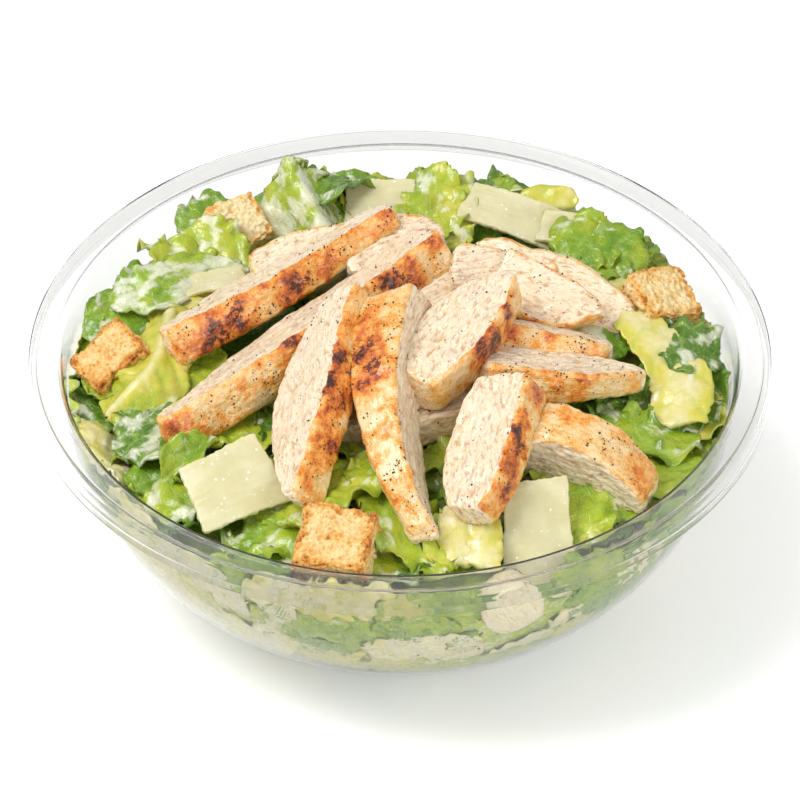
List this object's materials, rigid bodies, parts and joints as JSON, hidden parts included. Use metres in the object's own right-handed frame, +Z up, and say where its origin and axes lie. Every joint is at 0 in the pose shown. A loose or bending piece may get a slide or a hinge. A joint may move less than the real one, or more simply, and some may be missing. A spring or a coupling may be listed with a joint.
{
  "type": "chicken caesar salad in a clear bowl",
  "caption": "Round clear plastic bowl of dressed romaine lettuce topped with sliced grilled chicken, croutons and cheese shavings.",
  "frame": {"origin": "centre of the bowl's flat bottom, on the surface it stands on", "axes": "+Z up, -Y towards the side that the slices of chicken point to, +X to the right of that side"},
  "size_m": [0.185, 0.185, 0.0894],
  "materials": {
    "clear_plastic": "clear gloss",
    "lettuce": "wet leaf with pale dressing",
    "chicken": "grilled meat, pale fibrous cut faces and browned skin side",
    "crouton": "toasted bread",
    "cheese": "smooth hard cheese"
  },
  "bodies": {
    "root": {"bowl": "clear_plastic", "cheese_back_edge": "cheese", "cheese_back_left": "cheese", "cheese_back_right": "cheese", "cheese_front_left": "cheese", "cheese_front_right": "cheese", "cheese_left": "cheese", "chicken_back_left": "chicken", "chicken_back_middle": "chicken", "chicken_back_right": "chicken", "chicken_back_tip": "chicken", "chicken_centre": "chicken", "chicken_centre_left": "chicken", "chicken_front_right": "chicken", "chicken_left_long": "chicken", "chicken_left_top": "chicken", "chicken_middle_low": "chicken", "chicken_oval": "chicken", "chicken_right_broad": "chicken", "chicken_right_edge": "chicken", "chicken_right_long": "chicken", "chicken_right_low": "chicken", "chicken_right_upper": "chicken", "chicken_under_centre": "chicken", "chicken_wall_front": "chicken", "chicken_wall_low": "chicken", "chicken_wall_right": "chicken", "crouton_back_left": "crouton", "crouton_front": "crouton", "crouton_left": "crouton", "crouton_right": "crouton", "lettuce_heap": "lettuce"}
  },
  "joints": []
}
